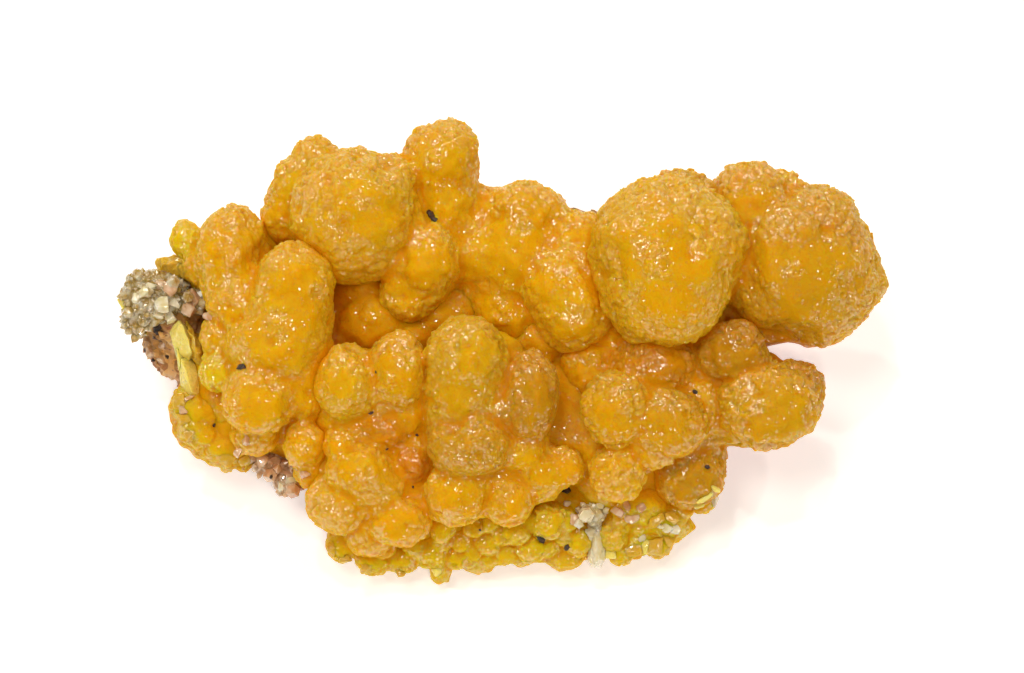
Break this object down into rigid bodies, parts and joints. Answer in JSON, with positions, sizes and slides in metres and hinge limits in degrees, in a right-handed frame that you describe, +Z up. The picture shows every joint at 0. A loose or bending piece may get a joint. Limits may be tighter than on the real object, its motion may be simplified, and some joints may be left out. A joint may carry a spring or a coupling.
{
  "type": "mimetite mineral specimen",
  "caption": "Grape-like crust of fused yellow-orange mimetite knobs with drusy tops on lean brown rock, with clear and pale quartz at its edges; lies on its flat underside for display.",
  "frame": {"origin": "on the flat underside of the rock, on the plane that the specimen rests on, below the middle of the face that carries the knobs", "axes": "+Z up from the resting plane; +X along the specimen's length, towards its two largest knobs; the face with the knobs looks up and leans towards -Y"},
  "size_m": [0.0377, 0.0206, 0.0148],
  "materials": {
    "orange_mimetite": "translucent resinous yellow-orange, with a sparkling frosted druse on the tops",
    "brown_rock": "dull, granular, tan-brown, with dark pits",
    "lemon_mimetite": "smooth, glassy to resinous, lemon yellow",
    "drusy_quartz": "clear to smoky, sparkling crystal faces",
    "pink_quartz": "milky, pinkish, glassy faces",
    "white_quartz": "milky white to pale lime, glassy faces"
  },
  "bodies": {
    "root": {"mimetite_crust": "orange_mimetite", "rock_matrix": "brown_rock", "lemon_mimetite_blade": "lemon_mimetite", "quartz_left": "drusy_quartz", "quartz_seam_lower_left": "pink_quartz", "quartz_rim_middle": "white_quartz", "quartz_rim_right": "white_quartz"}
  },
  "joints": []
}
